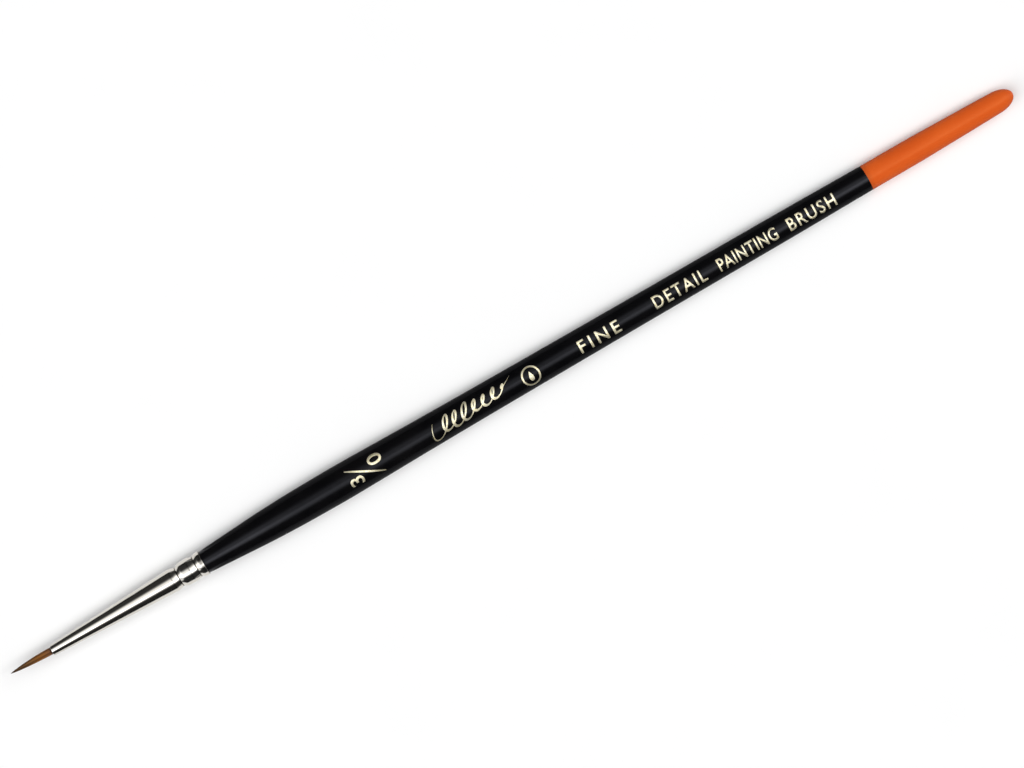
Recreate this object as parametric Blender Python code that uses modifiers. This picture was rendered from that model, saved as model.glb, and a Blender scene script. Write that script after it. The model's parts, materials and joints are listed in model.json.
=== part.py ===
"""Fine detail brush: a pointed hair tuft in a crimped metal ferrule on a turned, lacquered handle.

The brush lies along X. Its hair tip is at the low end of X and the lowest point of its
handle is on z = 0. Everything is turned about one axis parallel to X. Lengths are in metres.
"""

import math

import bmesh
import bpy

MM = 0.001
MERGE_WITHIN = 0.001 * MM

# Whole brush
TOTAL_LENGTH = 175.0 * MM
HAIR_OUT = 6.96 * MM
FERRULE_LENGTH = 26.6 * MM
FIT_GAP = 0.1 * MM
SIDES = 28

# Handle outline: (distance behind the shoulder, radius), with an elliptical dome at the end
HANDLE_LENGTH = TOTAL_LENGTH - HAIR_OUT - FERRULE_LENGTH - FIT_GAP
BELLY_AT = 23.4 * MM
BELLY_RADIUS = 2.76 * MM
HANDLE_STATIONS = (
    (0.0 * MM, 1.80 * MM),
    (6.4 * MM, 2.22 * MM),
    (12.4 * MM, 2.56 * MM),
    (18.4 * MM, 2.72 * MM),
    (BELLY_AT, BELLY_RADIUS),
    (29.4 * MM, 2.69 * MM),
    (38.4 * MM, 2.54 * MM),
    (51.4 * MM, 2.41 * MM),
    (76.4 * MM, 2.26 * MM),
    (101.4 * MM, 2.18 * MM),
    (116.2 * MM, 2.05 * MM),
    (122.4 * MM, 2.03 * MM),
    (128.4 * MM, 1.96 * MM),
    (133.4 * MM, 1.80 * MM),
)
DOME_LENGTH = 3.0 * MM
DOME_RADIUS = 1.70 * MM
DIP_LENGTH = 25.6 * MM
COAT = 0.15 * MM
STEP_ALONG_HANDLE = 6.5 * MM
DOME_STEPS = 5

# Ferrule outline, measured from its mouth
MOUTH_RADIUS = 0.85 * MM
CONE_LENGTH = 24.38 * MM
BARREL_RADIUS = 1.97 * MM
FERRULE_WALL = 0.2 * MM
# Each crimp groove: (place of its bottom, width in front of it, width behind it, depth)
CRIMPS = (
    (22.26 * MM, 1.05 * MM, 0.7 * MM, 0.31 * MM),
    (25.36 * MM, 1.1 * MM, 0.62 * MM, 0.26 * MM),
)
CRIMP_SHARPNESS = 1.3
CONE_STEPS = 2
CRIMP_STEPS = 4
TENON_LENGTH = 7.5 * MM
TENON_CHAMFER = 0.3 * MM

# Hair
TUFT_RADIUS = 0.56 * MM
TUFT_TAPER_POWER = 0.75
TUFT_TIP_RADIUS = 0.03 * MM
TUFT_STEPS = 9
PIVOT_BEFORE_MOUTH = 0.2 * MM
ROOTS_LENGTH = 9.0 * MM
ROOTS_END_RADIUS = 0.74 * MM
THREAD_AT = 6.6 * MM
THREAD_DIAMETER = 0.16 * MM
THREAD_COIL_RADIUS = 0.72 * MM
THREAD_TURNS = 4
THREAD_POINTS_PER_TURN = 12
THREAD_PITCH = 0.2 * MM
WAIST_RADIUS = 0.54 * MM
WAIST_HALF_WIDTH = 0.9 * MM
RESIN_LENGTH = 3.5 * MM
RESIN_DISH = 0.5 * MM
RESIN_DISH_STEPS = 3

# Places along X, from the hair tip
TIP_X = -TOTAL_LENGTH / 2
MOUTH_X = TIP_X + HAIR_OUT
SHOULDER_X = MOUTH_X + FERRULE_LENGTH + FIT_GAP
# The handle lies on the flat of its lowest side, so the axis is this high
AXIS_Z = BELLY_RADIUS * math.cos(math.pi / SIDES)


def clear_scene():
    for obj in list(bpy.data.objects):
        bpy.data.objects.remove(obj, do_unlink=True)


def make_collection(name):
    collection = bpy.data.collections.new(name)
    bpy.context.scene.collection.children.link(collection)
    return collection


def make_material(name, color, roughness, metallic=0.0):
    material = bpy.data.materials.new(name)
    material.use_nodes = True
    shader = material.node_tree.nodes["Principled BSDF"]
    shader.inputs["Base Color"].default_value = (*color, 1.0)
    shader.inputs["Roughness"].default_value = roughness
    shader.inputs["Metallic"].default_value = metallic
    return material


def steps_between(low, high, count):
    """Evenly spaced values from low to high, both included."""
    return [low + (high - low) * i / count for i in range(count + 1)]


def smooth_value(stations, at):
    """A smooth curve through the stations, which never swings past them."""
    slopes = [(b[1] - a[1]) / (b[0] - a[0]) for a, b in zip(stations, stations[1:])]
    tangents = [slopes[0]]
    for before, after in zip(slopes, slopes[1:]):
        same_way = before * after > 0
        tangents.append(2 * before * after / (before + after) if same_way else 0.0)
    tangents.append(slopes[-1])
    last = len(slopes) - 1
    span = min(sum(at > end[0] for end in stations[1:]), last)
    start, end = stations[span], stations[span + 1]
    width = end[0] - start[0]
    t = min(max((at - start[0]) / width, 0.0), 1.0)
    return (
        start[1] * (1 + 2 * t) * (1 - t) ** 2
        + width * tangents[span] * t * (1 - t) ** 2
        + end[1] * t * t * (3 - 2 * t)
        + width * tangents[span + 1] * t * t * (t - 1)
    )


def handle_radius(behind_shoulder):
    """Outer radius of the finished handle."""
    dome_start = HANDLE_LENGTH - DOME_LENGTH
    stations = HANDLE_STATIONS + ((dome_start, DOME_RADIUS),)
    if behind_shoulder <= dome_start:
        return smooth_value(stations, behind_shoulder)
    share = min((behind_shoulder - dome_start) / DOME_LENGTH, 1.0)
    return DOME_RADIUS * math.sqrt(1 - share * share)


def dome_points():
    """(distance behind the shoulder, radius) round the end, up to the pole on the axis."""
    points = []
    for angle in steps_between(0.0, math.pi / 2, DOME_STEPS):
        along = HANDLE_LENGTH - DOME_LENGTH + DOME_LENGTH * math.sin(angle)
        points.append((along, max(DOME_RADIUS * math.cos(angle), 0.0)))
    points[-1] = (HANDLE_LENGTH, 0.0)
    return points


def ferrule_radius(from_mouth):
    """Outer radius of the ferrule: a cone with two rolled grooves and a straight back rim."""
    share = min(from_mouth / CONE_LENGTH, 1.0)
    radius = MOUTH_RADIUS + (BARREL_RADIUS - MOUTH_RADIUS) * share
    for bottom, in_front, behind, depth in CRIMPS:
        off = from_mouth - bottom
        off /= behind if off > 0 else -in_front
        radius -= depth * max(1 - off, 0.0) ** CRIMP_SHARPNESS
    return radius


def ferrule_stations():
    """Distances from the mouth at which the ferrule's outline bends."""
    first_bottom, first_front = CRIMPS[0][:2]
    stations = steps_between(0.0, first_bottom - first_front, CONE_STEPS)[:-1]
    for bottom, in_front, behind, _depth in CRIMPS:
        stations += steps_between(bottom - in_front, bottom, CRIMP_STEPS)[:-1]
        stations += steps_between(bottom, bottom + behind, CRIMP_STEPS)
    stations.append(FERRULE_LENGTH)
    return stations


def bore_radius(from_mouth):
    return ferrule_radius(from_mouth) - FERRULE_WALL


def turned(name, collection, material, origin_x, outline):
    """Turns (place along the axis, radius) points, in order of rising X, about the brush's axis."""
    half_side = math.pi / SIDES
    profile = bmesh.new()
    previous = None
    for along, radius in reversed(outline):
        place = (along, radius * math.cos(half_side), radius * math.sin(half_side))
        vertex = profile.verts.new(place)
        if previous:
            profile.edges.new((previous, vertex))
        previous = vertex
    mesh = bpy.data.meshes.new(name)
    profile.to_mesh(mesh)
    profile.free()
    obj = bpy.data.objects.new(name, mesh)
    collection.objects.link(obj)
    obj.location = (origin_x, 0.0, AXIS_Z)
    obj.data.materials.append(material)
    screw = obj.modifiers.new("turn", "SCREW")
    screw.axis = "X"
    screw.steps = SIDES
    screw.render_steps = SIDES
    screw.use_merge_vertices = True
    screw.merge_threshold = MERGE_WITHIN
    screw.use_smooth_shade = True
    return obj


def turned_shell(name, collection, material, origin_x, outline, wall):
    """A turned outer surface, given its wall thickness inwards."""
    obj = turned(name, collection, material, origin_x, outline)
    solidify = obj.modifiers.new("wall", "SOLIDIFY")
    solidify.thickness = wall
    solidify.offset = -1.0
    solidify.use_even_offset = True
    return obj


def make_hair_tuft(collection):
    """The free hairs. Its origin is on the bend axis, and its root is a ball about that axis."""
    length = HAIR_OUT - PIVOT_BEFORE_MOUTH
    outline = [(-length, 0.0)]
    for share in steps_between(0.0, 1.0, TUFT_STEPS)[1:]:
        along = share * share
        taper = (1 - (1 - along) ** 2) ** TUFT_TAPER_POWER
        radius = TUFT_TIP_RADIUS + (TUFT_RADIUS - TUFT_TIP_RADIUS) * taper
        outline.append((length * (along - 1), radius))
    for angle in steps_between(0.0, math.pi / 2, DOME_STEPS)[1:-1]:
        outline.append((TUFT_RADIUS * math.sin(angle), TUFT_RADIUS * math.cos(angle)))
    outline.append((TUFT_RADIUS, 0.0))
    material = make_material("sable_hair", (0.19, 0.08, 0.03), 0.6)
    pivot_x = MOUTH_X - PIVOT_BEFORE_MOUTH
    return turned("hair_tuft", collection, material, pivot_x, outline)


def make_hair_roots(collection):
    """The held hairs, which fill the mouth of the ferrule and narrow under the thread."""
    start = TUFT_RADIUS - PIVOT_BEFORE_MOUTH + FIT_GAP
    before_waist = THREAD_AT - WAIST_HALF_WIDTH
    after_waist = THREAD_AT + WAIST_HALF_WIDTH
    outline = [
        (start, 0.0),
        (start, bore_radius(start) - FIT_GAP),
        (before_waist - WAIST_HALF_WIDTH, bore_radius(before_waist) - 2 * FIT_GAP),
        (before_waist, WAIST_RADIUS),
        (after_waist, WAIST_RADIUS),
        (ROOTS_LENGTH, ROOTS_END_RADIUS),
        (ROOTS_LENGTH, 0.0),
    ]
    material = make_material("hair_root", (0.24, 0.11, 0.05), 0.7)
    return turned("hair_roots", collection, material, MOUTH_X, outline)


def make_binding_thread(collection):
    """A few turns of thread round the roots, as one long coil."""
    count = THREAD_TURNS * THREAD_POINTS_PER_TURN
    curve = bpy.data.curves.new("binding_thread", "CURVE")
    curve.dimensions = "3D"
    curve.bevel_depth = THREAD_DIAMETER / 2
    curve.bevel_resolution = 1
    curve.use_fill_caps = True
    spline = curve.splines.new("POLY")
    spline.points.add(count)
    start = -THREAD_PITCH * THREAD_TURNS / 2
    for i, point in enumerate(spline.points):
        angle = 2 * math.pi * i / THREAD_POINTS_PER_TURN
        across = THREAD_COIL_RADIUS * math.cos(angle)
        up = THREAD_COIL_RADIUS * math.sin(angle)
        along = start + THREAD_PITCH * i / THREAD_POINTS_PER_TURN
        point.co = (along, across, up, 1.0)
    spline.use_smooth = True
    obj = bpy.data.objects.new("binding_thread", curve)
    collection.objects.link(obj)
    obj.location = (MOUTH_X + THREAD_AT, 0.0, AXIS_Z)
    obj.data.materials.append(make_material("thread", (0.75, 0.70, 0.60), 0.9))
    return obj


def make_resin_plug(collection):
    """The resin behind the roots, with a dished back where it set."""
    start = ROOTS_LENGTH + FIT_GAP
    end = start + RESIN_LENGTH
    edge = bore_radius(end) - FIT_GAP
    outline = [(start, 0.0), (start, bore_radius(start) - FIT_GAP)]
    for share in reversed(steps_between(0.0, 1.0, RESIN_DISH_STEPS)):
        outline.append((end - RESIN_DISH * (1 - share * share), edge * share))
    material = make_material("resin", (0.55, 0.35, 0.12), 0.25)
    return turned("resin_plug", collection, material, MOUTH_X, outline)


def make_ferrule(collection):
    outline = [(at, ferrule_radius(at)) for at in ferrule_stations()]
    material = make_material("nickel_plate", (0.72, 0.71, 0.69), 0.12, 1.0)
    return turned_shell("ferrule", collection, material, MOUTH_X, outline, FERRULE_WALL)


def make_wooden_handle(collection):
    """The bare wood: a tenon that follows the ferrule's bore, a shoulder, and the handle."""
    under_coat = COAT + FIT_GAP
    tenon_start = FERRULE_LENGTH - TENON_LENGTH
    to_shoulder = MOUTH_X - SHOULDER_X
    first_radius = bore_radius(tenon_start) - FIT_GAP
    outline = [
        (tenon_start + to_shoulder, 0.0),
        (tenon_start + to_shoulder, first_radius - TENON_CHAMFER),
        (tenon_start + TENON_CHAMFER + to_shoulder, first_radius),
    ]
    inside = [at for at in ferrule_stations() if at > tenon_start + TENON_CHAMFER]
    outline += [(at + to_shoulder, bore_radius(at) - FIT_GAP) for at in inside]
    outline.append((0.0, bore_radius(FERRULE_LENGTH) - FIT_GAP))
    count = round((HANDLE_LENGTH - DOME_LENGTH) / STEP_ALONG_HANDLE)
    along_handle = steps_between(0.0, HANDLE_LENGTH - DOME_LENGTH, count)
    outline += [(at, handle_radius(at) - under_coat) for at in along_handle]
    shrink = (DOME_RADIUS - under_coat) / DOME_RADIUS
    dome_start = HANDLE_LENGTH - DOME_LENGTH
    for at, radius in dome_points()[1:]:
        outline.append((dome_start + (at - dome_start) * shrink, radius * shrink))
    material = make_material("birch_wood", (0.62, 0.43, 0.25), 0.6)
    return turned("wooden_handle", collection, material, SHOULDER_X, outline)


def make_black_lacquer(collection):
    end = HANDLE_LENGTH - DIP_LENGTH
    before = steps_between(0.0, BELLY_AT, round(BELLY_AT / STEP_ALONG_HANDLE))
    behind = steps_between(BELLY_AT, end, round((end - BELLY_AT) / STEP_ALONG_HANDLE))
    outline = [(at, handle_radius(at)) for at in before + behind[1:]]
    material = make_material("black_lacquer", (0.006, 0.006, 0.007), 0.2)
    return turned_shell("black_lacquer", collection, material, SHOULDER_X, outline, COAT)


def make_orange_dip(collection):
    start = HANDLE_LENGTH - DIP_LENGTH + FIT_GAP
    dome_start = HANDLE_LENGTH - DOME_LENGTH
    count = round((dome_start - start) / STEP_ALONG_HANDLE)
    along_handle = steps_between(start, dome_start, count)
    outline = [(at, handle_radius(at)) for at in along_handle]
    outline += dome_points()[1:]
    material = make_material("orange_lacquer", (0.72, 0.13, 0.02), 0.25)
    return turned_shell("orange_dip", collection, material, SHOULDER_X, outline, COAT)


def main():
    clear_scene()
    collection = make_collection("fine_detail_brush")
    make_hair_tuft(collection)
    make_hair_roots(collection)
    make_binding_thread(collection)
    make_resin_plug(collection)
    make_ferrule(collection)
    make_wooden_handle(collection)
    make_black_lacquer(collection)
    make_orange_dip(collection)


main()
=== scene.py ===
"""The looks of the fine detail brush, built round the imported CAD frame. Lengths are in metres."""

import json
import math
import random

import bmesh
import bpy
from mathutils import Matrix, Vector
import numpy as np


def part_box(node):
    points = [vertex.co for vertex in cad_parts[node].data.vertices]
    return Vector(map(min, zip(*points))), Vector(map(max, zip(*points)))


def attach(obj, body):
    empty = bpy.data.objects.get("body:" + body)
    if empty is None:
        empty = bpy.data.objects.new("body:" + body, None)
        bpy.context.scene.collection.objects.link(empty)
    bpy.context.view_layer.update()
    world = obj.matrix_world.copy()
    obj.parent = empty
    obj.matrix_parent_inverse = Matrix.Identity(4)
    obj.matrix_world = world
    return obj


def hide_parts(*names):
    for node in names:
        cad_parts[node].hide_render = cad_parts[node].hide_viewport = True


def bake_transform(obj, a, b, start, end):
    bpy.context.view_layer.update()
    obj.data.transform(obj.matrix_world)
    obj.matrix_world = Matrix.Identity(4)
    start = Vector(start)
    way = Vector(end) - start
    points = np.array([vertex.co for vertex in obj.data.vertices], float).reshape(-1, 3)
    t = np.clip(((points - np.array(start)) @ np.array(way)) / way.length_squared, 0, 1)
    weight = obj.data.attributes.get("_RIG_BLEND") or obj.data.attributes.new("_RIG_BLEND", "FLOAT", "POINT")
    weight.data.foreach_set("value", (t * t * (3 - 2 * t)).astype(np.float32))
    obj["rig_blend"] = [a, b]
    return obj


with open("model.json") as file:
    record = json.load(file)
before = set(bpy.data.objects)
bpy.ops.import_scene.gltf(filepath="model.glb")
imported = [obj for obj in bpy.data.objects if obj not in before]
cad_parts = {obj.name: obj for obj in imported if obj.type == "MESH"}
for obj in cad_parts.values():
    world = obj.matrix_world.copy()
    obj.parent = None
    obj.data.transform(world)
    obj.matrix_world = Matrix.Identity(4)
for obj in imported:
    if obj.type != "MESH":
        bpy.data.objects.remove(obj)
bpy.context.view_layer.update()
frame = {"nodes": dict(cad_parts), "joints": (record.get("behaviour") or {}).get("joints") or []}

MM = 0.001
HANDLE_BODY = "handle"
TUFT_BODY = "tuft"

# Places along X, and the height of the axis that everything is turned about, from the frame
TIP_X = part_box("hair_tuft")[0].x
MOUTH_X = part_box("ferrule")[0].x
FERRULE_END_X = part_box("ferrule")[1].x
SHOULDER_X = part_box("black_lacquer")[0].x
COAT_END_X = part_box("black_lacquer")[1].x
DIP_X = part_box("orange_dip")[0].x
END_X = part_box("orange_dip")[1].x
AXIS_Z = frame["joints"][0]["pos_m"][2]

# Thickness of the coats and of the ferrule's wall, as in the CAD
COAT_THICK = 0.15 * MM
FERRULE_WALL = 0.2 * MM


# ---------------------------------------------------------------- outlines read from the frame

# Corners that are closer than this along X are one point of an outline
SAME_PLACE = 0.02 * MM
# How far a face has to look away from the axis to be on the outside, as a cosine
LEAST_OUTWARDS = 0.1
# A stretch longer than this is straight, and is held by a point this far from each end
LONG_STRETCH = 0.7 * MM
HELD_FROM_END = 0.1 * MM


def cad_outline(node):
    """(x, radius) down the outside of a turned CAD node, in rising X."""
    mesh = frame["nodes"][node].data
    found = {}
    for face in mesh.polygons:
        outwards = Vector((0.0, face.center.y, face.center.z - AXIS_Z)).normalized()
        if face.normal.dot(outwards) < LEAST_OUTWARDS:
            continue
        for index in face.vertices:
            point = mesh.vertices[index].co
            radius = math.hypot(point.y, point.z - AXIS_Z)
            place = round(point.x / SAME_PLACE)
            if place not in found or radius > found[place][1]:
                found[place] = (point.x, radius)
    return [found[place] for place in sorted(found)]


def smooth_value(stations, at):
    """The value at x of a smooth curve through the (x, value) stations, which never swings past them."""
    at = min(max(at, stations[0][0]), stations[-1][0])
    slopes = [(b[1] - a[1]) / (b[0] - a[0]) for a, b in zip(stations, stations[1:])]
    tangents = [slopes[0]]
    for before, after in zip(slopes, slopes[1:]):
        same_way = before * after > 0
        tangents.append(2 * before * after / (before + after) if same_way else 0.0)
    tangents.append(slopes[-1])
    span = min(sum(at > end[0] for end in stations[1:]), len(slopes) - 1)
    start, end = stations[span], stations[span + 1]
    width = end[0] - start[0]
    t = (at - start[0]) / width
    return (
        start[1] * (1 + 2 * t) * (1 - t) ** 2
        + width * tangents[span] * t * (1 - t) ** 2
        + end[1] * t * t * (3 - 2 * t)
        + width * tangents[span + 1] * t * t * (t - 1)
    )


def steps_between(low, high, count):
    """Evenly spaced values from low to high, in the given number of steps."""
    return [low + (high - low) * i / count for i in range(count + 1)]


def spaced(low, high, step):
    """Evenly spaced values from low to high, about one step apart."""
    return steps_between(low, high, max(1, round((high - low) / step)))


def held_straight(outline):
    """The outline with points near the ends of each long stretch, so that a curve keeps it straight."""
    points = [outline[0]]
    for (x, radius), (end_x, end_radius) in zip(outline, outline[1:]):
        length = end_x - x
        if length > LONG_STRETCH:
            for share in (HELD_FROM_END / length, 1.0 - HELD_FROM_END / length):
                points.append((x + length * share, radius + (end_radius - radius) * share))
        points.append((end_x, end_radius))
    return points


def between_creases(outline):
    """The outline in runs that meet at the bottoms of its grooves, where it has a crease."""
    runs = [[outline[0]]]
    for before, here, after in zip(outline, outline[1:], outline[2:]):
        runs[-1].append(here)
        if here[1] < min(before[1], after[1]):
            runs.append([here])
    runs[-1].append(outline[-1])
    return runs


COAT_OUTLINE = cad_outline("black_lacquer")
DIP_OUTLINE = cad_outline("orange_dip")
FERRULE_RUNS = between_creases(held_straight(cad_outline("ferrule")))


def handle_radius(x):
    """Outer radius of the finished handle, coat and dip alike, in front of the dome."""
    return smooth_value(COAT_OUTLINE + DIP_OUTLINE[1:-1], x)


# ---------------------------------------------------------------- materials

def srgb(red, green, blue):
    """Linear colour from sRGB values of 0 to 255."""
    return tuple(((value / 255 + 0.055) / 1.055) ** 2.4 for value in (red, green, blue))


class Tree:
    """A few short calls that build nodes."""

    def __init__(self, tree, coordinates):
        self.tree = tree
        self.place = self.add("ShaderNodeTexCoord").outputs[coordinates]

    def add(self, kind, **settings):
        node = self.tree.nodes.new(kind)
        for key, value in settings.items():
            setattr(node, key, value)
        return node

    def link(self, source, socket):
        self.tree.links.new(source, socket)

    def feed(self, values, sockets):
        """Links or sets each socket, by whether its value is an output, a colour or a number."""
        for value, socket in zip(values, sockets):
            if isinstance(value, bpy.types.NodeSocket):
                self.link(value, socket)
            elif isinstance(value, tuple):
                socket.default_value = (*value, 1.0)
            else:
                socket.default_value = value

    def stretched(self, scale):
        """The coordinates, times a scale for each axis."""
        node = self.add("ShaderNodeMapping")
        node.inputs["Scale"].default_value = scale
        self.link(self.place, node.inputs["Vector"])
        return node.outputs["Vector"]

    def noise(self, scale, detail=4.0, rough=0.55):
        """Noise whose grains are 1/scale metres along each axis."""
        node = self.add("ShaderNodeTexNoise")
        node.inputs["Scale"].default_value = 1.0
        node.inputs["Detail"].default_value = detail
        node.inputs["Roughness"].default_value = rough
        self.link(self.stretched(scale), node.inputs["Vector"])
        return node.outputs["Fac"]

    def ramp(self, source, stops):
        """A colour ramp. Each stop is (position, grey value or colour)."""
        node = self.add("ShaderNodeValToRGB")
        ramp = node.color_ramp
        while len(ramp.elements) < len(stops):
            ramp.elements.new(1.0)
        for element, (position, value) in zip(ramp.elements, stops):
            color = value if isinstance(value, tuple) else (value, value, value)
            element.position = position
            element.color = (*color, 1.0)
        self.link(source, node.inputs["Fac"])
        return node.outputs["Color"]

    def mix(self, share, first, second, how="MIX"):
        """Two colours in one. Inputs 0, 6 and 7 are the share and the colours A and B."""
        node = self.add("ShaderNodeMix", data_type="RGBA", blend_type=how)
        self.feed((share, first, second), (node.inputs[0], node.inputs[6], node.inputs[7]))
        return node.outputs[2]

    def math(self, how, first, second=0.0):
        node = self.add("ShaderNodeMath", operation=how)
        self.feed((first, second), node.inputs)
        return node.outputs["Value"]

    def fade(self, source, low, high):
        """0 where the source is at low and 1 where it is at high, with a soft start and end."""
        node = self.add("ShaderNodeMapRange", interpolation_type="SMOOTHSTEP")
        node.inputs["From Min"].default_value = low
        node.inputs["From Max"].default_value = high
        self.link(source, node.inputs["Value"])
        return node.outputs["Result"]

    def axes(self):
        """The X, Y and Z of the coordinates, each on its own."""
        node = self.add("ShaderNodeSeparateXYZ")
        self.link(self.place, node.inputs[0])
        return node.outputs["X"], node.outputs["Y"], node.outputs["Z"]


class Nodes(Tree):
    """The nodes of a new material. Its coordinates are metres."""

    def __init__(self, name):
        self.material = bpy.data.materials.new(name)
        self.material.use_nodes = True
        super().__init__(self.material.node_tree, "Object")
        self.shader = self.tree.nodes["Principled BSDF"]

    def set(self, **values):
        for key, value in values.items():
            self.shader.inputs[key.replace("_", " ")].default_value = value

    def color(self, source):
        self.link(source, self.shader.inputs["Base Color"])

    def roughness(self, source, stops):
        self.link(self.ramp(source, stops), self.shader.inputs["Roughness"])

    def bump(self, height, depth, strength):
        node = self.add("ShaderNodeBump")
        node.inputs["Strength"].default_value = strength
        node.inputs["Distance"].default_value = depth
        self.link(height, node.inputs["Height"])
        self.link(node.outputs["Normal"], self.shader.inputs["Normal"])


def lacquer(name, tint, rubbed_stops, ripple_scale, ripple_depth):
    """Glossy lacquer with rubbed patches and faint ripples, which still needs its colour."""
    nodes = Nodes(name)
    nodes.set(Metallic=0.0, IOR=1.5, Specular_IOR_Level=0.2, Specular_Tint=(*tint, 1.0))
    nodes.roughness(nodes.noise((900, 2500, 2500), detail=6.0), rubbed_stops)
    nodes.bump(nodes.noise(ripple_scale, detail=2.0), ripple_depth, 0.5)
    return nodes


def black_lacquer_material():
    """Deep black that reflects a little blue."""
    tint = (0.93, 0.95, 1.08)
    rubbed = [(0.35, 0.16), (0.75, 0.24)]
    nodes = lacquer("black_lacquer_gloss", tint, rubbed, (500, 900, 900), 0.004 * MM)
    clouds = nodes.noise((300, 300, 300))
    nodes.color(nodes.ramp(clouds, [(0.3, (0.0018, 0.0018, 0.0022)), (0.7, (0.0036, 0.0034, 0.0038))]))
    return nodes.material


def orange_lacquer_material():
    """Orange that is a little browner at its thin front edge, where the black shows through."""
    tint = (1.0, 0.6, 0.22)
    rubbed = [(0.35, 0.2), (0.75, 0.3)]
    thick_from = DIP_X + 0.9 * MM
    thinnest = DIP_X - 0.3 * MM
    most_brown = 0.4
    nodes = lacquer("orange_lacquer_gloss", tint, rubbed, (400, 700, 700), 0.006 * MM)
    clouds = nodes.noise((180, 260, 260))
    orange = nodes.ramp(clouds, [(0.3, srgb(209, 86, 31)), (0.7, srgb(215, 92, 34))])
    thin = nodes.fade(nodes.axes()[0], thick_from, thinnest)
    nodes.color(nodes.mix(nodes.math("MULTIPLY", thin, most_brown), orange, srgb(148, 70, 32)))
    return nodes.material


def nickel_material():
    """Polished nickel plate: fine lines drawn along the tube, a few stains, painted shade at the bottom of
    each crease.
    """
    nodes = Nodes("nickel_plate")
    nodes.set(Metallic=1.0)
    stains = nodes.noise((260, 500, 500))
    color = nodes.ramp(stains, [(0.3, (0.61, 0.583, 0.53)), (0.7, (0.69, 0.662, 0.61))])
    along = nodes.axes()[0]
    # Painted shade: the colour darkens to near black at the bottom of each groove, standing in for the shade
    # there
    crease_shade_color = (0.09, 0.08, 0.065)
    unshaded_from, fully_shaded_to = 0.12 * MM, 0.04 * MM
    for run in FERRULE_RUNS[1:]:
        crease_x = run[0][0]
        away = nodes.math("ABSOLUTE", nodes.math("SUBTRACT", along, crease_x))
        color = nodes.mix(nodes.fade(away, unshaded_from, fully_shaded_to), color, crease_shade_color)
    nodes.color(color)
    drawn = nodes.noise((600, 14000, 14000), detail=3.0)
    nodes.roughness(drawn, [(0.3, 0.07), (0.7, 0.13)])
    nodes.bump(drawn, 0.0008 * MM, 0.4)
    return nodes.material


def foil_material():
    """Hot-stamped pale gold leaf, worn in places."""
    nodes = Nodes("gold_foil")
    nodes.set(Metallic=1.0)
    worn = nodes.noise((5200, 5200, 5200), detail=5.0)
    gold = [(0.3, srgb(216, 198, 144)), (0.5, srgb(243, 236, 206)), (0.75, srgb(250, 248, 234))]
    nodes.color(nodes.ramp(worn, gold))
    nodes.roughness(worn, [(0.3, 0.6), (0.7, 0.42)])
    nodes.bump(worn, 0.004 * MM, 0.6)
    return nodes.material


def hair_material():
    """Weasel hair: orange-brown at the root, dark towards the tip, each hair of its own tone, with painted
    shade where it goes into the ferrule's mouth.
    """
    nodes = Nodes("sable_hair")
    nodes.set(Metallic=0.0, Roughness=0.42, Specular_IOR_Level=0.15)
    along = nodes.add("ShaderNodeAttribute", attribute_name="along").outputs["Fac"]
    tone = nodes.add("ShaderNodeAttribute", attribute_name="tone").outputs["Fac"]
    mouth_shade_then_root_to_tip = [
        # The first two stops are painted shade, darkening the hair where it goes into the ferrule's mouth
        (0.0, srgb(48, 28, 20)),
        (0.02, srgb(60, 36, 26)),
        (0.045, srgb(112, 74, 46)),
        (0.2, srgb(121, 77, 36)),
        (0.32, srgb(120, 75, 28)),
        (0.45, srgb(110, 74, 38)),
        (0.7, srgb(84, 59, 35)),
        (0.85, srgb(80, 58, 38)),
        (1.0, srgb(62, 48, 38)),
    ]
    base = nodes.ramp(along, mouth_shade_then_root_to_tip)
    shade = nodes.ramp(tone, [(0.0, 0.42), (0.5, 0.95), (1.0, 1.6)])
    nodes.color(nodes.mix(1.0, base, shade, "MULTIPLY"))
    return nodes.material


def plain_grain_material(name, dark, light, scale, rough, depth):
    """A grainy material for the pieces inside the ferrule and under the coats."""
    rougher = rough + 0.15
    nodes = Nodes(name)
    grain = nodes.noise(scale, detail=6.0)
    nodes.color(nodes.ramp(grain, [(0.3, dark), (0.7, light)]))
    nodes.roughness(grain, [(0.3, rough), (0.7, rougher)])
    nodes.bump(grain, depth, 0.5)
    return nodes.material


# ---------------------------------------------------------------- turned pieces

# How finely a turned piece is made: its faces all round, and its steps along X
SIDES = 128
LATHE_STEP = 0.5 * MM
# Faces of a turned piece that meet at more than this make a sharp edge
SHARP_BEND = math.radians(50)


def new_object(name, mesh, material):
    """A piece in the scene, with its material."""
    obj = bpy.data.objects.new(name, mesh)
    bpy.context.scene.collection.objects.link(obj)
    mesh.materials.append(material)
    return obj


def ring_at(turned, x, radius):
    """New corners round the axis at x, or the one corner of a pole if the radius is 0."""
    if radius <= 0.0:
        return [turned.verts.new((x, 0.0, AXIS_Z))]
    ring = []
    for side in range(SIDES):
        angle = 2 * math.pi * side / SIDES
        ring.append(turned.verts.new((x, radius * math.cos(angle), AXIS_Z + radius * math.sin(angle))))
    return ring


def join_rings(turned, first, second):
    """New faces between two rings, either of which may be a pole."""
    if len(first) == len(second) == 1:
        return
    for side in range(SIDES):
        following = (side + 1) % SIDES
        if len(first) == 1:
            corners = (first[0], second[following], second[side])
        elif len(second) == 1:
            corners = (first[side], first[following], second[0])
        else:
            corners = (first[side], first[following], second[following], second[side])
        turned.faces.new(corners)


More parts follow.
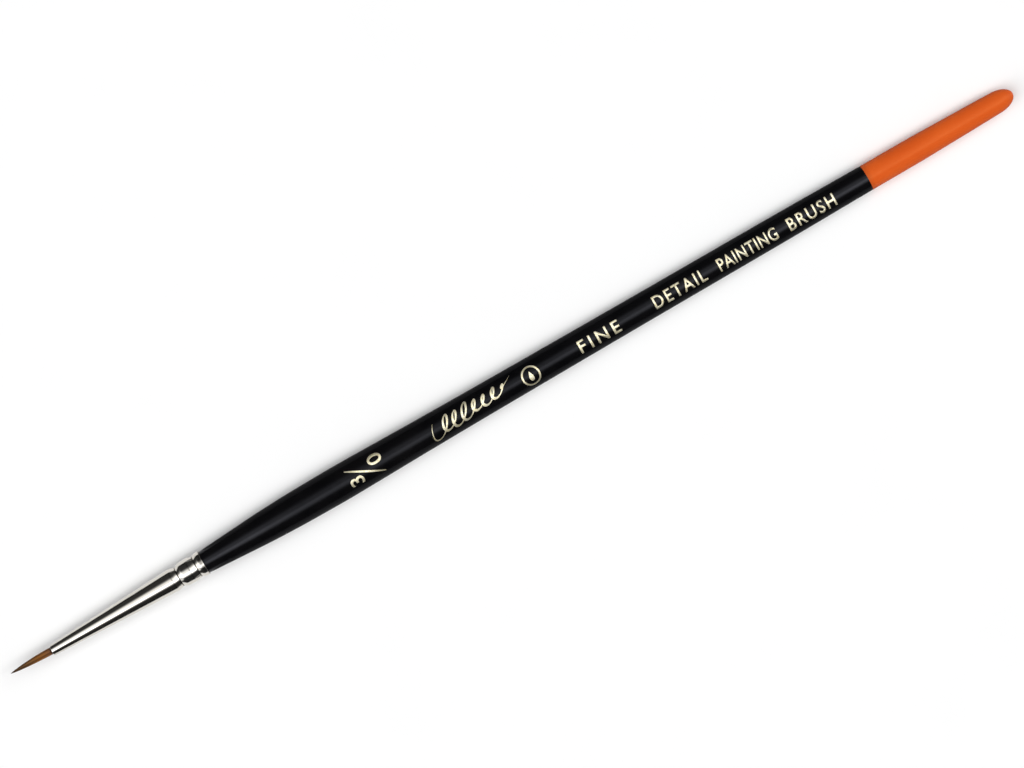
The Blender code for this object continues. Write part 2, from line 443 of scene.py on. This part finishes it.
def lathe(name, outline, material):
    """Turns (x, radius) points about the brush's axis and joins the last to the first.
    A radius of 0 makes a pole."""
    mesh = bpy.data.meshes.new(name)
    turned = bmesh.new()
    rings = [ring_at(turned, x, radius) for x, radius in outline]
    for first, second in zip(rings, rings[1:] + rings[:1]):
        join_rings(turned, first, second)
    bmesh.ops.recalc_face_normals(turned, faces=turned.faces)
    turned.to_mesh(mesh)
    turned.free()
    mesh.shade_smooth()
    mesh.set_sharp_from_angle(angle=SHARP_BEND)
    return new_object(name, mesh, material)


def rounded_corner(x, radius, size, from_angle, to_angle, count=6):
    """Points on a round of the given size about (x, radius). Angle 0 is +X and 90 degrees outwards."""
    points = []
    for angle in steps_between(from_angle, to_angle, count):
        turn = math.radians(angle)
        points.append((x + size * math.cos(turn), radius + size * math.sin(turn)))
    return points


def make_black_coat(material):
    """The black coat, from its rounded front edge to under the lip of the orange dip."""
    edge = 0.06 * MM
    into_ferrule = 0.02 * MM
    sunk_by = 0.03 * MM
    start = FERRULE_END_X - into_ferrule
    full_to = DIP_X - 0.4 * MM
    under_dip = DIP_X + 2.0 * MM
    front = rounded_corner(start + edge, handle_radius(start) - edge, edge, 180, 95)
    outer = [(x, handle_radius(x)) for x in spaced(start + 2 * edge, full_to, LATHE_STEP)]
    sunk = [(x, handle_radius(x) - sunk_by) for x in spaced(DIP_X, under_dip, LATHE_STEP)]
    inner = [(x, handle_radius(x) - COAT_THICK) for x in spaced(start, under_dip, 2 * LATHE_STEP)]
    obj = lathe("lacquered_handle", front + outer + sunk + inner[::-1], material)
    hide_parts("black_lacquer")
    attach(obj, HANDLE_BODY)
    return obj


def dome(start, length, radius, count):
    """Points down a round end, from just after its start to the pole."""
    points = []
    for angle in steps_between(0.0, math.pi / 2, count)[1:-1]:
        points.append((start + length * math.sin(angle), radius * math.cos(angle)))
    return points + [(start + length, 0.0)]


def make_orange_dip(material):
    """The orange coat, with the thin round lip where the dip stopped, and the domed end."""
    lip = 0.035 * MM
    over_black = 0.1 * MM
    proud_of_black = 0.004 * MM
    dome_before_last = 3.0 * MM
    start = DIP_X - over_black
    dome_start = DIP_OUTLINE[-1][0] - dome_before_last
    dome_radius = handle_radius(dome_start)
    dome_length = END_X - dome_start
    front = rounded_corner(start + lip, handle_radius(start) - lip, lip, 180, 95, 4)
    outer = [(x, handle_radius(x) + proud_of_black) for x in spaced(start + 3 * lip, dome_start, LATHE_STEP)]
    end = dome(dome_start, dome_length, dome_radius, 24)
    inner_end = dome(dome_start, dome_length - COAT_THICK, dome_radius - COAT_THICK, 12)
    inner_end.insert(0, (dome_start, dome_radius - COAT_THICK))
    inner = [(x, r - COAT_THICK) for x, r in outer[::-2] if x < dome_start - LATHE_STEP]
    inner.append((start + lip, handle_radius(start) - 2 * lip))
    outline = front + outer + end + inner_end[::-1] + inner
    obj = lathe("orange_dipped_end", outline, material)
    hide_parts("orange_dip")
    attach(obj, HANDLE_BODY)
    return obj


def softened(points, passes):
    """The points with their bends rounded, and both ends where they were."""
    for _ in range(passes):
        radii = [r for _x, r in points]
        between = [(a + 2 * b + c) / 4 for a, b, c in zip(radii, radii[1:], radii[2:])]
        points = [(x, r) for (x, _r), r in zip(points, [radii[0]] + between + [radii[-1]])]
    return points


def make_ferrule(material):
    """The plated cone, with a rounded mouth, two rolled grooves and a rounded back rim."""
    rim = 0.07 * MM
    step = 0.07 * MM
    soft_passes = 3
    mouth_radius = FERRULE_RUNS[0][0][1]
    end_radius = FERRULE_RUNS[-1][-1][1]
    mouth = rounded_corner(MOUTH_X + rim, mouth_radius - rim, rim, 270, 92, 10)
    outer = []
    for run in FERRULE_RUNS:
        points = [(x, smooth_value(run, x)) for x in spaced(run[0][0], run[-1][0], step)]
        outer += softened(points, soft_passes)[1:]
    outer = [point for point in outer if MOUTH_X + 2 * rim < point[0] < FERRULE_END_X - 2 * rim]
    back = rounded_corner(FERRULE_END_X - rim, end_radius - rim, rim, 88, 0)
    inner = [(x, r - FERRULE_WALL) for x, r in outer[::-3]]
    obj = lathe("plated_ferrule", mouth + outer + back + inner, material)
    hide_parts("ferrule")
    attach(obj, HANDLE_BODY)
    return obj


# ---------------------------------------------------------------- hair

HAIRS = 420
HAIR_RADIUS = 0.035 * MM
HAIR_SIDES = 6
HAIR_STEPS = 24
TUFT_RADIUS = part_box("hair_tuft")[1].y + 0.015 * MM
HAIR_START_X = MOUTH_X + 0.4 * MM
HAIR_TIP_X = TIP_X - 0.22 * MM
# The sides of the tuft are fuller the lower this power is
TAPER_POWER = 0.75
# The tuft's middle leans to +Y by this much at the tip, and most of it comes early
TIP_LEAN = 0.1 * MM
LEAN_POWER = 2.5
# A hair's steps are closer together near its tip the higher this power is
STEP_POWER = 1.35
# The turn from each hair to the next, which spreads them evenly
GOLDEN_TURN = math.radians(137.508)
# Below 0.5 the hairs crowd towards the outside of the tuft
CROWDING = 0.42
# How much shorter a hair may be than the longest, as a share, and how much more so on the outside
SHORTER = 0.01
SHORTER_OUTSIDE = 0.11
# How far a hair may wander round the tuft, in radians: steadily, and from side to side
MOST_DRIFT = 0.12
MOST_SWAY = 0.05
SWAY_RADIANS = 5
# The share of a hair that keeps its full thickness, how much of it is lost at the tip, and the
# share of its own radius at which the tuft begins to thin its hairs
FULL_SHARE = 0.35
THINNED = 0.7
THIN_BELOW = 0.5
# Bunches of lighter and darker hairs
LOCKS = 5
LOCK_TONE = 0.36
HAIR_TONE = 0.14
# The bend's far end is beyond the tip by this share of the tuft, so that the tip still curves
BEND_PAST_TIP = 0.15


def tuft_envelope(share):
    """Radius of the tuft, as a share of its radius at the mouth, at a share of the way to the tip."""
    return max(1.0 - share ** 2, 0.0) ** TAPER_POWER


def hair_path(index, dice):
    """Points from inside the ferrule to the hair's tip: (centre, radius, share of the way out)."""
    out = ((index + 0.5) / HAIRS) ** CROWDING
    turn = index * GOLDEN_TURN
    reach = 1.0 - SHORTER_OUTSIDE * out * dice.random() - SHORTER * dice.random()
    drift = dice.uniform(-MOST_DRIFT, MOST_DRIFT)
    sway = dice.uniform(-1.0, 1.0)
    points = []
    length = MOUTH_X - HAIR_TIP_X
    for step in steps_between(0.0, 1.0, HAIR_STEPS):
        share = 1.0 - (1.0 - step) ** STEP_POWER
        x = HAIR_START_X + (HAIR_TIP_X + length * (1 - reach) - HAIR_START_X) * share
        along = min(max((MOUTH_X - x) / length, 0.0), 1.0)
        envelope = tuft_envelope(along)
        swirl = turn + drift * share + MOST_SWAY * sway * math.sin(SWAY_RADIANS * share)
        off = (TUFT_RADIUS - HAIR_RADIUS) * out * envelope
        thinned = 1.0 - THINNED * max(share - FULL_SHARE, 0.0) / (1.0 - FULL_SHARE)
        thick = HAIR_RADIUS * thinned * min(1.0, 1.0 - THIN_BELOW + envelope)
        lean = TIP_LEAN * (1.0 - (1.0 - along) ** LEAN_POWER)
        centre = Vector((x, lean + off * math.cos(swirl), AXIS_Z + off * math.sin(swirl)))
        points.append((centre, thick, along))
    return points


def add_hair(hairs, path, tone):
    """One closed hair down its path. Its corners carry how far along they are and its tone."""
    along_layer = hairs.verts.layers.float["along"]
    tone_layer = hairs.verts.layers.float["tone"]
    rings = []
    for centre, thick, along in path:
        ring = []
        for side in range(HAIR_SIDES):
            angle = 2 * math.pi * side / HAIR_SIDES
            offset = Vector((0.0, math.cos(angle), math.sin(angle))) * thick
            vertex = hairs.verts.new(centre + offset)
            vertex[along_layer] = along
            vertex[tone_layer] = tone
            ring.append(vertex)
        rings.append(ring)
    for first, second in zip(rings, rings[1:]):
        for side in range(HAIR_SIDES):
            following = (side + 1) % HAIR_SIDES
            hairs.faces.new((first[side], second[side], second[following], first[following]))
    hairs.faces.new(rings[0])
    hairs.faces.new(rings[-1][::-1])


def make_tuft(material):
    """The tuft, hair by hair. It bends between the ferrule and the tuft body."""
    dice = random.Random(7)
    mesh = bpy.data.meshes.new("hair_tuft_hairs")
    hairs = bmesh.new()
    hairs.verts.layers.float.new("along")
    hairs.verts.layers.float.new("tone")
    for index in range(HAIRS):
        lock = math.sin(LOCKS * index * GOLDEN_TURN + 1.0)
        tone = 0.5 + LOCK_TONE * lock + dice.uniform(-HAIR_TONE, HAIR_TONE)
        add_hair(hairs, hair_path(index, dice), tone)
    bmesh.ops.recalc_face_normals(hairs, faces=hairs.faces)
    hairs.to_mesh(mesh)
    hairs.free()
    mesh.shade_smooth()
    obj = new_object("hair_tuft_hairs", mesh, material)
    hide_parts("hair_tuft")
    start = (MOUTH_X, 0.0, AXIS_Z)
    end = (TIP_X - BEND_PAST_TIP * (MOUTH_X - TIP_X), 0.0, AXIS_Z)
    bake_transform(obj, HANDLE_BODY, TUFT_BODY, start=start, end=end)
    return obj


# ---------------------------------------------------------------- gold foil marks

FOIL_THICK = 0.03 * MM
# A drawing is cut into strips this wide round the handle, so that it can bend
CUT_EVERY = 0.12 * MM
# Height of a capital letter over the size of the built-in font, and how much the foil fattens it
CAPITAL_HEIGHT = 0.73
FATTER = 0.017


def wrap_on_handle(flat, middle_x, shift):
    """Lays a flat drawing on the handle: its X along the brush, its Y round the handle."""
    for vertex in flat.verts:
        x = middle_x + vertex.co.x
        radius = handle_radius(x)
        angle = (vertex.co.y + shift) / radius
        lift = radius + vertex.co.z
        vertex.co = (x, lift * math.sin(angle), AXIS_Z + lift * math.cos(angle))


def foil_object(name, flat, middle_x, shift, material):
    """A drawing in the flat, cut fine enough to bend, wrapped on the handle and given a thickness."""
    low = min(vertex.co.y for vertex in flat.verts)
    high = max(vertex.co.y for vertex in flat.verts)
    cuts = int((high - low) / CUT_EVERY)
    for cut in range(1, cuts):
        at = Vector((0.0, low + cut * (high - low) / cuts, 0.0))
        geometry = flat.verts[:] + flat.edges[:] + flat.faces[:]
        bmesh.ops.bisect_plane(flat, geom=geometry, plane_co=at, plane_no=(0, 1, 0))
    wrap_on_handle(flat, middle_x, shift)
    mesh = bpy.data.meshes.new(name)
    flat.to_mesh(mesh)
    flat.free()
    obj = new_object(name, mesh, material)
    solidify = obj.modifiers.new("leaf", "SOLIDIFY")
    solidify.thickness = FOIL_THICK
    solidify.offset = 0.0
    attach(obj, HANDLE_BODY)
    return obj


def lettering(text, height, spacing, narrow, quarter_turn=False):
    """A flat drawing of plain letters, centred on its origin."""
    curve = bpy.data.curves.new("letters", "FONT")
    curve.body = text
    curve.size = height / CAPITAL_HEIGHT
    curve.space_character = spacing
    curve.align_x = "CENTER"
    curve.resolution_u = 6
    curve.fill_mode = "FRONT"
    curve.offset = FATTER * height
    holder = bpy.data.objects.new("letters", curve)
    bpy.context.scene.collection.objects.link(holder)
    bpy.context.view_layer.update()
    mesh = bpy.data.meshes.new_from_object(holder.evaluated_get(bpy.context.evaluated_depsgraph_get()))
    bpy.data.objects.remove(holder)
    flat = bmesh.new()
    flat.from_mesh(mesh)
    bpy.data.meshes.remove(mesh)
    bmesh.ops.remove_doubles(flat, verts=flat.verts, dist=0.001 * MM)
    bmesh.ops.translate(flat, verts=flat.verts, vec=(0.0, -height / 2, 0.0))
    bmesh.ops.scale(flat, verts=flat.verts, vec=(narrow, 1.0, 1.0))
    if quarter_turn:
        bmesh.ops.rotate(flat, verts=flat.verts, matrix=Matrix.Rotation(math.pi / 2, 3, "Z"))
    return flat


def neighbours(points, i):
    """The points before and after a point. Each end point is its own neighbour."""
    return points[max(i - 1, 0)], points[min(i + 1, len(points) - 1)]


def stroke(points, widths):
    """A flat ribbon down the points, as wide at each as its width says. It climbs over itself,
    and in a tight bend its inner side stays within the bend's radius."""
    climb = 0.01 * MM
    inner_share = 0.8
    least_bend = 1e-18
    flat = bmesh.new()
    edges = []
    for i, point in enumerate(points):
        before, after = neighbours(points, i)
        run = after - before
        side = Vector((-run.y, run.x, 0.0)).normalized()
        bend = (point - before).cross(after - point).z
        radius = run.length ** 3 / max(abs(8 * bend), least_bend)
        half = widths[i] / 2
        inner_half = min(half, inner_share * radius)
        left = inner_half if bend > 0 else half
        right = inner_half if bend < 0 else half
        lifted = point + Vector((0.0, 0.0, climb * i / len(points)))
        edges.append((flat.verts.new(lifted + side * left), flat.verts.new(lifted - side * right)))
    for first, second in zip(edges, edges[1:]):
        flat.faces.new((first[0], first[1], second[1], second[0]))
    return flat


def flourish_loops():
    """Points down seven slanted pen loops that grow smaller."""
    length = 11.6 * MM
    tall = 3.1 * MM
    loops = 7
    steps = 480
    first_turn = 0.9
    shrinks_by = 0.3
    uneven_by, uneven_waves = 0.22, 2.4
    open_by = 0.34
    slant = 0.5
    rise = 0.5 * MM
    advance = length / (2 * math.pi * loops)
    points = []
    for share in steps_between(0.0, 1.0, steps):
        turn = 2 * math.pi * loops * share + first_turn
        uneven = 1.0 + uneven_by * math.cos(2 * math.pi * uneven_waves * share)
        size = tall * (0.5 - shrinks_by * share) * uneven
        x = length * (share - 0.5) - (advance + open_by * size) * math.sin(turn)
        y = size * math.cos(turn) - (0.5 - share) * rise
        points.append(Vector((x + slant * y, y, 0.0)))
    return points


def flourish_tail(last, run):
    """Points down a long rising tail that leaves the last point along the run."""
    onwards, along, up = 1.2, 1.9, 0.9
    points = []
    for share in steps_between(0.0, 1.0, 40)[1:]:
        sweep = Vector((along * share ** 2, up * share ** 2, 0.0))
        points.append(last + (run * onwards * share * (1 - share) + sweep) * MM)
    return points


def pen_widths(points):
    """Widths of a stroke that a slanted nib draws, fine at both ends."""
    nib_angle = math.radians(35)
    thinnest, spread, end_width = 0.13, 0.28, 0.02
    end_share = 1 / 16
    widths = []
    for i in range(len(points)):
        before, after = neighbours(points, i)
        heading = math.atan2(after.y - before.y, after.x - before.x)
        nib = abs(math.sin(heading - nib_angle))
        done = i / len(points)
        fade = min(1.0, done / end_share, (1.0 - done) / end_share)
        widths.append(((thinnest + spread * nib) * fade + end_width) * MM)
    return widths


def flourish():
    """A pen flourish that spells nothing: slanted loops that grow smaller, then a long rising tail."""
    points = flourish_loops()
    points += flourish_tail(points[-1], (points[-1] - points[-2]).normalized())
    return stroke(points, pen_widths(points))


def ring_emblem():
    """A ring round a plain water drop, a little tall, so that it looks round on the curved handle."""
    around, tall = 72, 1.1
    drop_steps, drop_wide, drop_tall, pointed = 40, 0.5 * MM, 0.8 * MM, 1.3
    flat = bmesh.new()
    rings = []
    for radius in (1.24 * MM, 1.5 * MM):
        ring = []
        for step in range(around):
            angle = 2 * math.pi * step / around
            ring.append(flat.verts.new((radius * math.cos(angle), tall * radius * math.sin(angle), 0.0)))
        rings.append(ring)
    for step in range(around):
        following = (step + 1) % around
        flat.faces.new((rings[0][step], rings[1][step], rings[1][following], rings[0][following]))
    drop = []
    for step in range(drop_steps):
        angle = 2 * math.pi * step / drop_steps
        across = drop_wide * math.sin(angle) * math.sin(angle / 2) ** pointed
        drop.append(flat.verts.new((across, drop_tall * math.cos(angle), 0.0)))
    flat.faces.new(drop)
    bmesh.ops.triangulate(flat, faces=[face for face in flat.faces if len(face.verts) > 4])
    return flat


def fraction_stroke():
    """The long slanted stroke between the two figures of the size, thinner towards its ends."""
    run = Vector((5.7 * MM, -3.05 * MM, 0.0))
    wide, thinner = 0.3 * MM, 0.5 * MM
    shares = steps_between(-0.5, 0.5, 24)
    return stroke([run * share for share in shares], [wide - thinner * share ** 2 for share in shares])


def make_marks(material):
    """The foil marks on top of the handle. Each is (name, drawing, distance from the tip, shift to +Y)."""
    marks = (
        ("size_upper_figure", lettering("3", 2.25 * MM, 1.0, 1.15, True), 59.85 * MM, -1.05 * MM),
        ("size_stroke", fraction_stroke(), 61.65 * MM, -0.32 * MM),
        ("size_lower_figure", lettering("0", 2.3 * MM, 1.0, 1.15, True), 63.65 * MM, 0.66 * MM),
        ("flourish_mark", flourish(), 80.0 * MM, -0.15 * MM),
        ("ring_emblem", ring_emblem(), 90.5 * MM, -0.45 * MM),
        ("grade_lettering", lettering("FINE", 2.2 * MM, 1.35, 0.95), 102.3 * MM, -0.42 * MM),
        ("caption_first_word", lettering("DETAIL", 2.2 * MM, 1.22, 0.8), 116.4 * MM, -0.24 * MM),
        ("caption_second_word", lettering("PAINTING", 2.2 * MM, 1.1, 0.7), 128.3 * MM, -0.24 * MM),
        ("caption_third_word", lettering("BRUSH", 2.2 * MM, 1.22, 0.8), 139.45 * MM, -0.24 * MM),
    )
    for name, drawing, from_tip, shift in marks:
        foil_object(name, drawing, TIP_X + from_tip, shift, material)


# ---------------------------------------------------------------- pieces inside

def dress_inner_nodes():
    """Materials for the CAD nodes that stay as they are. Each look is
    (material, dark, light, grains per metre, roughness, bump depth)."""
    wood = ("birch_wood", srgb(176, 132, 84), srgb(212, 172, 120), (120, 2600, 2600), 0.5, 0.01 * MM)
    roots = ("held_hair", srgb(84, 52, 30), srgb(128, 84, 48), (300, 16000, 16000), 0.55, 0.02 * MM)
    thread = ("waxed_thread", srgb(196, 186, 160), srgb(226, 218, 196), (9000, 9000, 9000), 0.7, 0.02 * MM)
    resin = ("amber_resin", srgb(150, 96, 40), srgb(176, 120, 58), (900, 900, 900), 0.2, 0.004 * MM)
    looks = {"wooden_handle": wood, "hair_roots": roots, "binding_thread": thread, "resin_plug": resin}
    for node, look in looks.items():
        data = frame["nodes"][node].data
        data.materials.clear()
        data.materials.append(plain_grain_material(*look))


# ---------------------------------------------------------------- studio

# The camera looks straight down. The width is what it sees at the axis's height
VIEW_WIDTH = 154.95 * MM
ROLL = math.radians(-30.13)
CAMERA_LENS = 135.0
SENSOR_WIDTH = 36.0
NEAREST, FARTHEST = 0.01, 50.0
AIM = (-0.11 * MM, -0.055 * MM)

FLOOR_HALF_SIZE = 6.0
# The floor touches the handle behind its belly too, at least this far behind
BEHIND_BELLY = 30 * MM

# Brightness of the light tent by a direction's turn from straight up towards +Y, in degrees
ROOF = (
    (-90, 0.03),
    (-45, 0.03),
    (-39, 0.08),
    (-33, 0.42),
    (-27, 1.9),
    (-20, 3.1),
    (-14, 3.8),
    (-8, 3.8),
    (-3, 1.75),
    (3, 1.55),
    (8, 1.6),
    (16, 1.35),
    (24, 0.58),
    (32, 0.18),
    (40, 0.05),
    (90, 0.04),
)
# How much of the roof's light is left, by the direction's X: the camera shades the middle
CAMERA_SHADE = ((-0.21, 1.0), (-0.15, 0.62), (-0.09, 0.42), (0.04, 0.42), (0.11, 1.0))
# Light from the +Y side by the same turn, and the sizes of X between which it comes in
SIDE_LIGHT = ((0, 0.0), (8, 0.6), (30, 0.9), (40, 0.3), (60, 0.0))
SIDE_LIGHT_FADE = (0.3, 0.5)
# Light from both ends: its brightness, the sizes of X between which it comes in, and the middle
# of its strip in Y with the distances from there where the light is gone and where it is full
END_LIGHT = 0.95
END_LIGHT_FADE = (0.45, 0.75)
END_LIGHT_Y = -0.2
END_LIGHT_STRIP = (0.47, 0.26)
BRIGHTEST = 3.8
BACKDROP = (0.95, 0.95, 0.95, 1.0)

# The cards' heights over the floor, how far out they go, and the steps of a grey card's edge
GREY_CARD_HEIGHT = 0.3 * MM
BLACK_CARD_HEIGHT = 0.8 * GREY_CARD_HEIGHT
CARD_REACH = 1.0
CARD_STEP = 4 * MM
# How far from the handle the grey cards start, and from the axis the black ones
GREY_CARD_GAP = 0.6 * MM
BLACK_CARD_FROM = 25.0 * MM
# Brightness of the grey cards on the -Y and +Y sides, and of the black ones
GREYS = ((-1, 0.27), (1, 0.17))
BLACK = 0.012


def floor_tilt():
    """The X and radius of the handle's belly, and the slope of a surface that touches it there
    and further back."""
    belly_x, belly_radius = max(COAT_OUTLINE, key=lambda station: station[1])
    slopes = []
    for x in spaced(belly_x + BEHIND_BELLY, COAT_END_X, MM):
        slopes.append((belly_radius - handle_radius(x)) / (x - belly_x))
    return belly_x, belly_radius, math.atan(min(slopes))


def floor_height(x):
    """Height of the floor at a place along X."""
    belly_x, belly_radius, tilt = floor_tilt()
    return AXIS_Z - belly_radius + (x - belly_x) * math.tan(tilt)


def make_floor():
    """The pale surface that the brush lies on."""
    belly_x, belly_radius, tilt = floor_tilt()
    mesh = bpy.data.meshes.new("floor")
    plane = bmesh.new()
    bmesh.ops.create_grid(plane, x_segments=1, y_segments=1, size=FLOOR_HALF_SIZE)
    plane.to_mesh(mesh)
    plane.free()
    floor = bpy.data.objects.new("floor", mesh)
    bpy.context.scene.collection.objects.link(floor)
    floor.location = (belly_x, 0.0, AXIS_Z - belly_radius)
    floor.rotation_euler = (0.0, -tilt, 0.0)
    nodes = Nodes("white_floor")
    nodes.set(Roughness=0.9, Specular_IOR_Level=0.1)
    nodes.color(nodes.ramp(nodes.noise((60, 60, 60)), [(0.3, 0.9), (0.7, 0.91)]))
    mesh.materials.append(nodes.material)


def light_by_turn(nodes, share, table):
    """The light that a table of (turn in degrees, brightness) gives, as a share of the brightest.
    The share of 0 to 1 stands for turns of -90 to 90 degrees."""
    return nodes.ramp(share, [(turn / 180 + 0.5, bright / BRIGHTEST) for turn, bright in table])


def tent_light(nodes):
    """The tent's light as a share of its brightest: the roof less the camera's shade, with the
    side light added, and the end light where that is brighter."""
    x, y, z = nodes.axes()
    along = nodes.math("ABSOLUTE", x)
    half_turns = nodes.math("DIVIDE", nodes.math("ARCTAN2", y, z), math.pi)
    share = nodes.math("ADD", half_turns, 0.5)
    roof = light_by_turn(nodes, share, ROOF)
    x_share = nodes.math("ADD", nodes.math("DIVIDE", x, 2.0), 0.5)
    shade = nodes.ramp(x_share, [(at / 2 + 0.5, left) for at, left in CAMERA_SHADE])
    side = light_by_turn(nodes, share, SIDE_LIGHT)
    side = nodes.mix(1.0, side, nodes.fade(along, *SIDE_LIGHT_FADE), "MULTIPLY")
    from_strip = nodes.math("ABSOLUTE", nodes.math("SUBTRACT", y, END_LIGHT_Y))
    strip = nodes.fade(from_strip, *END_LIGHT_STRIP)
    ends = nodes.math("MULTIPLY", nodes.fade(along, *END_LIGHT_FADE), strip)
    ends = nodes.math("MULTIPLY", ends, END_LIGHT / BRIGHTEST)
    light = nodes.mix(1.0, nodes.mix(1.0, roof, shade, "MULTIPLY"), side, "ADD")
    return nodes.mix(1.0, light, ends, "LIGHTEN")


def make_world():
    """A tent of light along the brush, and a pale backdrop for the camera."""
    world = bpy.data.worlds.new("light_tent")
    bpy.context.scene.world = world
    world.use_nodes = True
    nodes = Tree(world.node_tree, "Generated")
    tent = nodes.tree.nodes["Background"]
    tent.inputs["Strength"].default_value = BRIGHTEST
    nodes.link(tent_light(nodes), tent.inputs["Color"])
    backdrop = nodes.add("ShaderNodeBackground")
    backdrop.inputs["Color"].default_value = BACKDROP
    camera_ray = nodes.add("ShaderNodeLightPath").outputs["Is Camera Ray"]
    seen = nodes.add("ShaderNodeMixShader")
    nodes.feed((camera_ray, tent.outputs[0], backdrop.outputs[0]), seen.inputs)
    nodes.link(seen.outputs[0], nodes.tree.nodes["World Output"].inputs[0])


def card(side, inner_edge, lift, material):
    """A card just over the floor on one side of the brush, seen only in reflections."""
    front, back = inner_edge[0][0], inner_edge[-1][0]
    outline = inner_edge + [(back, CARD_REACH), (front, CARD_REACH)]
    corners = [(x, side * y, floor_height(x) + lift) for x, y in outline]
    mesh = bpy.data.meshes.new("card")
    mesh.from_pydata(corners, [], [range(len(corners))])
    mesh.materials.append(material)
    sheet = bpy.data.objects.new("card", mesh)
    bpy.context.scene.collection.objects.link(sheet)
    sheet.visible_camera = False
    sheet.visible_diffuse = False
    sheet.visible_shadow = False


def card_material(name, bright):
    """Dull card with fibres a little darker and lighter than its brightness."""
    nodes = Nodes(name)
    nodes.set(Roughness=0.9, Specular_IOR_Level=0.0)
    nodes.color(nodes.ramp(nodes.noise((400, 400, 400)), [(0.3, 0.8 * bright), (0.7, 1.2 * bright)]))
    return nodes.material


def make_cards():
    """Cards that the shiny edges reflect: grey close beside the handle, black further out."""
    black = card_material("black_card", BLACK)
    handle_edge = [(x, handle_radius(x) + GREY_CARD_GAP) for x in spaced(SHOULDER_X, END_X, CARD_STEP)]
    handle_edge.append((CARD_REACH, handle_edge[-1][1]))
    black_edge = [(-CARD_REACH, BLACK_CARD_FROM), (CARD_REACH, BLACK_CARD_FROM)]
    for side, bright in GREYS:
        card(side, handle_edge, GREY_CARD_HEIGHT, card_material("grey_card", bright))
        card(side, black_edge, BLACK_CARD_HEIGHT, black)


def make_camera():
    """A long lens from high above, which sees the whole brush."""
    data = bpy.data.cameras.new("camera")
    data.lens = CAMERA_LENS
    data.sensor_width = SENSOR_WIDTH
    data.clip_start = NEAREST
    data.clip_end = FARTHEST
    camera = bpy.data.objects.new("camera", data)
    bpy.context.scene.collection.objects.link(camera)
    distance = VIEW_WIDTH * CAMERA_LENS / SENSOR_WIDTH
    camera.location = (*AIM, AXIS_Z + distance)
    camera.rotation_euler = (0.0, 0.0, ROLL)
    bpy.context.scene.camera = camera


def make_studio():
    bpy.context.scene.view_settings.view_transform = "Standard"
    make_world()
    make_floor()
    make_cards()
    make_camera()


def main():
    make_studio()
    make_black_coat(black_lacquer_material())
    make_orange_dip(orange_lacquer_material())
    make_ferrule(nickel_material())
    make_tuft(hair_material())
    make_marks(foil_material())
    dress_inner_nodes()


main()
